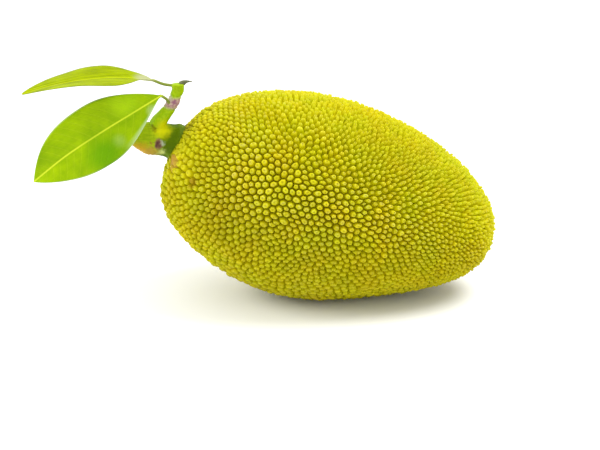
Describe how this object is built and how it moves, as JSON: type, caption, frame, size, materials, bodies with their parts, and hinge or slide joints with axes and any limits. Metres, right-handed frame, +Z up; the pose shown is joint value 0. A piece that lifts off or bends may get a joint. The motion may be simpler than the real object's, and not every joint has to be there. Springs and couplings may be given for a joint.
{
  "type": "jackfruit",
  "caption": "Whole ripe jackfruit with warty yellow-green skin, lying on its side, with its cut stalk, a leafy shoot and a pointed bud.",
  "frame": {"origin": "centre of the flat spot under the fruit, on the surface that it lies on", "axes": "+X along the fruit's length away from the stalk, +Z up, +Y across the fruit"},
  "size_m": [0.5271, 0.2314, 0.2731],
  "materials": {
    "fruit_skin": "satin, covered with blunt warts",
    "stalk_bark": "satin green bark, brown at the cut end",
    "shoot_bark": "satin",
    "bud_scale": "matte",
    "leaf": "glossy upper face"
  },
  "bodies": {
    "root": {"fruit": "fruit_skin", "stalk": "stalk_bark", "shoot": "shoot_bark", "terminal_bud": "bud_scale", "lower_leaf": "leaf", "upper_leaf": "leaf"}
  },
  "joints": []
}
